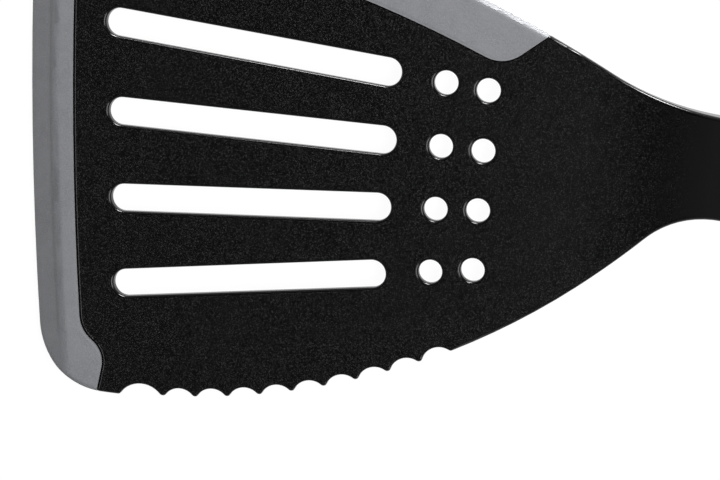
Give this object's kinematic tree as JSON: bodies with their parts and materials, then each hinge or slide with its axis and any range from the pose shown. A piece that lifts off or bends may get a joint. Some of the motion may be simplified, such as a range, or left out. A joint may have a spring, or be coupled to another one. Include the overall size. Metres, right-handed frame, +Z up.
{
  "type": "grill spatula",
  "caption": "Long-handled grill spatula: slotted, serrated black head with a soft grey edge, cranked neck, two-shell handle with soft grips and a swinging wire hanging loop.",
  "frame": {"origin": "middle of the overall box, on the surface that the spatula lies on", "axes": "+X along the handle from the blade's front edge to the hanging loop, +Y towards the silicone side of the blade, +Z up from the blade's flat underside"},
  "size_m": [0.456, 0.104, 0.0257],
  "materials": {
    "head_nylon": "fine matt texture, glass-filled nylon",
    "edge_silicone": "smooth satin silicone",
    "tang_steel": "plain rolled",
    "rivet_steel": "plain",
    "collar_steel": "satin",
    "handle_nylon": "fine matt texture",
    "grip_silicone": "soft matt",
    "screw_steel": "plain",
    "loop_wire": "polished stainless wire"
  },
  "bodies": {
    "spatula": {"blade": "head_nylon", "silicone_edge": "edge_silicone", "tang": "tang_steel", "neck_rivets": "rivet_steel", "collar": "collar_steel", "upper_shell": "handle_nylon", "lower_shell": "handle_nylon", "upper_grip": "grip_silicone", "lower_grip": "grip_silicone", "handle_screws": "screw_steel", "end_cap": "handle_nylon"},
    "loop": {"hang_loop": "loop_wire"}
  },
  "joints": [
    {"name": "loop_pivot", "type": "hinge", "parent": "spatula", "child": "loop", "pos_m": [0.19875, 0.00801, 0.013], "axis": [0, 1, 0], "range_deg": [-127.1, 82.9]}
  ]
}
